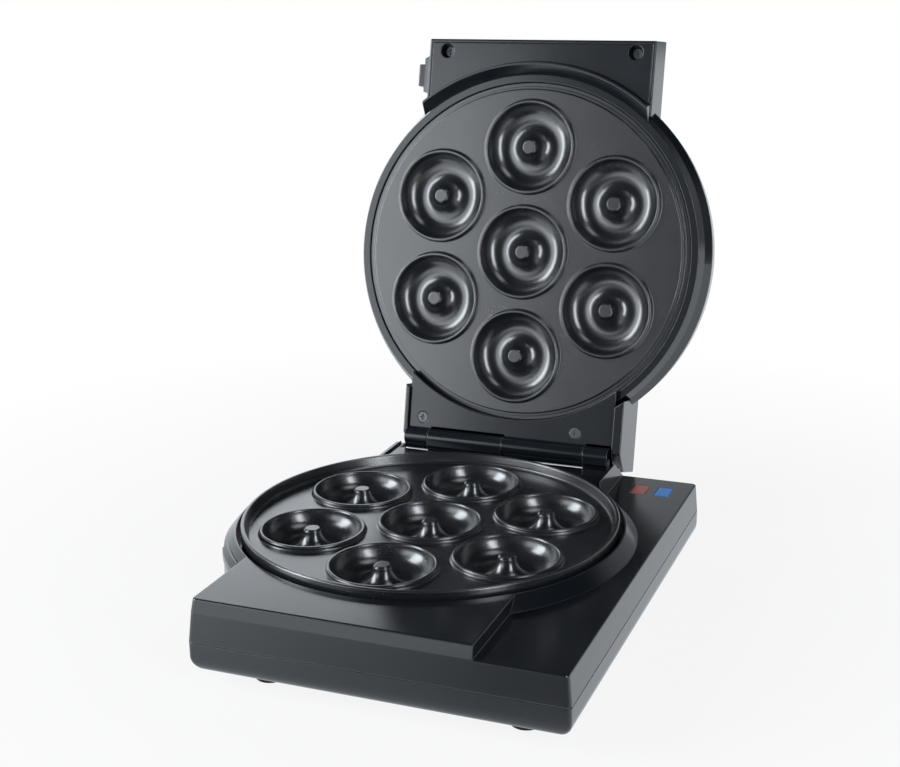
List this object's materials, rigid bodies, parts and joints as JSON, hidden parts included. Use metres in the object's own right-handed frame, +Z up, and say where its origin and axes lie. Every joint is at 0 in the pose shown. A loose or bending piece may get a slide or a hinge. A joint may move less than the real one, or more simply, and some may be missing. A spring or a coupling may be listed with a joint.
{
  "type": "donut maker",
  "caption": "Electric donut maker standing open: round baking plates with ring moulds in a dark base with a light panel and in a hinged lid.",
  "frame": {"origin": "on the table, in the middle of the area that the open appliance covers", "axes": "+X to the right of someone in front of it, +Y to the back where the lid's hinge is, +Z up"},
  "size_m": [0.2237, 0.3318, 0.2758],
  "materials": {
    "anthracite_plastic": "satin",
    "black_gloss_plastic": "polished",
    "black_rubber": "matte",
    "non_stick_coating": "satin",
    "heater_steel": "satin",
    "sheet_metal": "satin",
    "screw_steel": "satin",
    "circuit_board": "matte",
    "lamp_glass": "polished",
    "red_window": "satin",
    "blue_window": "satin",
    "wire_insulation": "matte"
  },
  "bodies": {
    "base": {"base_upper_housing": "anthracite_plastic", "base_lower_housing": "anthracite_plastic", "rubber_feet": "black_rubber", "lower_baking_plate": "non_stick_coating", "lower_heating_element": "heater_steel", "lower_heater_clips": "sheet_metal", "lower_heat_reflector": "sheet_metal", "lower_thermostat": "heater_steel", "lower_reflector_screws": "screw_steel", "mains_terminal_block": "black_gloss_plastic", "thermal_fuse": "sheet_metal", "cord_gland": "black_rubber", "indicator_board": "circuit_board", "indicator_lamps": "lamp_glass", "red_light_window": "red_window", "blue_light_window": "blue_window", "base_wiring": "wire_insulation", "base_screws": "screw_steel", "hinge_pin": "screw_steel", "lower_release_spring": "screw_steel"},
    "lid": {"lid_outer_shell": "anthracite_plastic", "lid_inner_frame": "anthracite_plastic", "lid_handle_cover": "anthracite_plastic", "lid_handle_screws": "screw_steel", "lid_hinge_cover": "anthracite_plastic", "lid_hinge_screws": "screw_steel", "upper_baking_plate": "non_stick_coating", "upper_heating_element": "heater_steel", "upper_heater_clips": "sheet_metal", "upper_heat_reflector": "sheet_metal", "upper_thermostat": "heater_steel", "upper_reflector_screws": "screw_steel", "upper_release_bezel": "anthracite_plastic", "upper_release_spring": "screw_steel", "lid_terminal_block": "black_gloss_plastic", "lid_wiring": "wire_insulation"},
    "lid_button": {"upper_release_button": "anthracite_plastic"},
    "base_button": {"lower_release_button": "black_gloss_plastic"}
  },
  "joints": [
    {"name": "lid_hinge", "type": "hinge", "parent": "base", "child": "lid", "pos_m": [0, 0.07943, 0.0431], "axis": [1, 0, 0], "range_deg": [0, 102.67]},
    {"name": "lid_button_press", "type": "slide", "parent": "lid", "child": "lid_button", "axis": [1, 0, 0], "range_m": [0, 0.003], "stiffness_N_per_m": 300, "springref_m": -0.004, "deforming": ["upper_release_spring"]},
    {"name": "base_button_press", "type": "slide", "parent": "base", "child": "base_button", "axis": [0.7771, 0.6293, 0], "range_m": [0, 0.002], "stiffness_N_per_m": 400, "springref_m": -0.004, "deforming": ["lower_release_spring"]}
  ]
}
